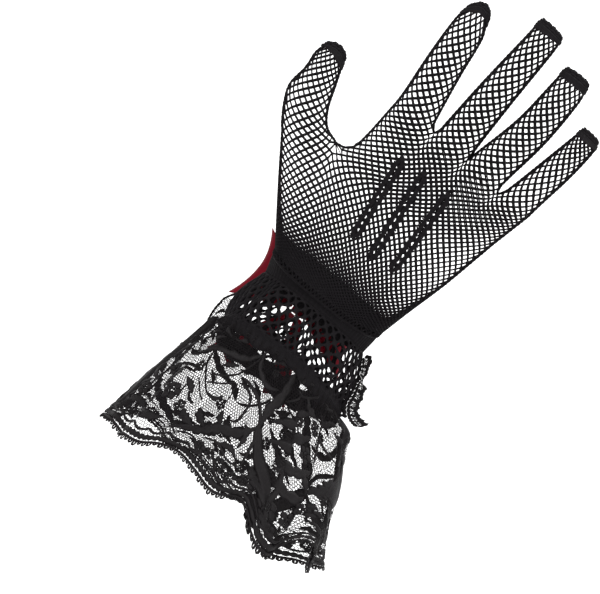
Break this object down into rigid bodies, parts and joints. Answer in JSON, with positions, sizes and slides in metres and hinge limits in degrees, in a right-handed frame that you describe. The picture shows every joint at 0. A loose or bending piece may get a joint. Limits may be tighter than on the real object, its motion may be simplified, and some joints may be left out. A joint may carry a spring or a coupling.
{
  "type": "lace glove",
  "caption": "Black fishnet dress glove for the right hand with stitched back points, a coarse net frill, a flared floral lace cuff with scalloped hem and a red satin bow.",
  "frame": {"origin": "middle of the wrist, inside the wrist band", "axes": "+Z from the wrist towards the fingertips, -Y towards the back of the hand, +X towards the little finger side"},
  "size_m": [0.1623, 0.0955, 0.2859],
  "materials": {
    "fishnet_black": "matte knitted nylon net",
    "dense_knit_black": "matte dense elastic knit",
    "coarse_net_black": "matte coarse net",
    "lace_black": "matte floral lace",
    "satin_red": "glossy satin ribbon"
  },
  "bodies": {
    "root": {"palm_net": "fishnet_black", "thumb_net": "fishnet_black", "index_net": "fishnet_black", "middle_net": "fishnet_black", "ring_net": "fishnet_black", "little_net": "fishnet_black", "thumb_tip_seam": "dense_knit_black", "index_tip_seam": "dense_knit_black", "middle_tip_seam": "dense_knit_black", "ring_tip_seam": "dense_knit_black", "little_tip_seam": "dense_knit_black", "back_point_1": "dense_knit_black", "back_point_2": "dense_knit_black", "back_point_3": "dense_knit_black", "wrist_band": "dense_knit_black", "net_frill": "coarse_net_black", "gather_band": "lace_black", "lace_cuff": "lace_black", "side_trim": "lace_black", "thumb_side_flap": "lace_black", "bow_knot": "satin_red", "bow_loop_thumb_side": "satin_red", "bow_loop_outer_side": "satin_red", "bow_tail_thumb_side": "satin_red", "bow_tail_outer_side": "satin_red"}
  },
  "joints": []
}
